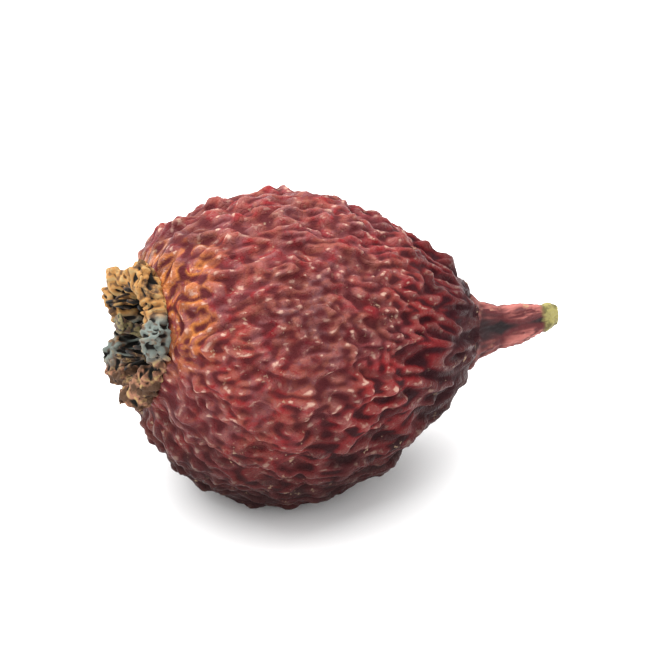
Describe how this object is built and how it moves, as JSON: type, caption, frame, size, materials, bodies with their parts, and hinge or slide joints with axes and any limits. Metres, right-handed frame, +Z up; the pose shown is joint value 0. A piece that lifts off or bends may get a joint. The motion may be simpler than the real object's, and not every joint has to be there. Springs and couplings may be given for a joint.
{
  "type": "dried hawthorn berry",
  "caption": "Dried, wrinkled red hawthorn fruit lying on its side, with the crumpled crown of its flower at one end and the stub of its stalk at the other.",
  "frame": {"origin": "under the middle of the whole piece, on the surface that the fruit's flat spot rests on", "axes": "+X along the fruit from its crown to its stalk, +Z up, +Y across it"},
  "size_m": [0.0126, 0.0084, 0.0082],
  "materials": {
    "skin": "dried and wrinkled, dark crimson to maroon, with a dull sheen on its ridges",
    "sepals": "dry and papery, brown-black with tan edges",
    "style": "dry, matt, tan",
    "bark": "dry ribbed bark, dark maroon, with a yellow-green broken tip"
  },
  "bodies": {
    "root": {"berry": "skin", "calyx": "sepals", "style": "style", "stalk": "bark"}
  },
  "joints": []
}
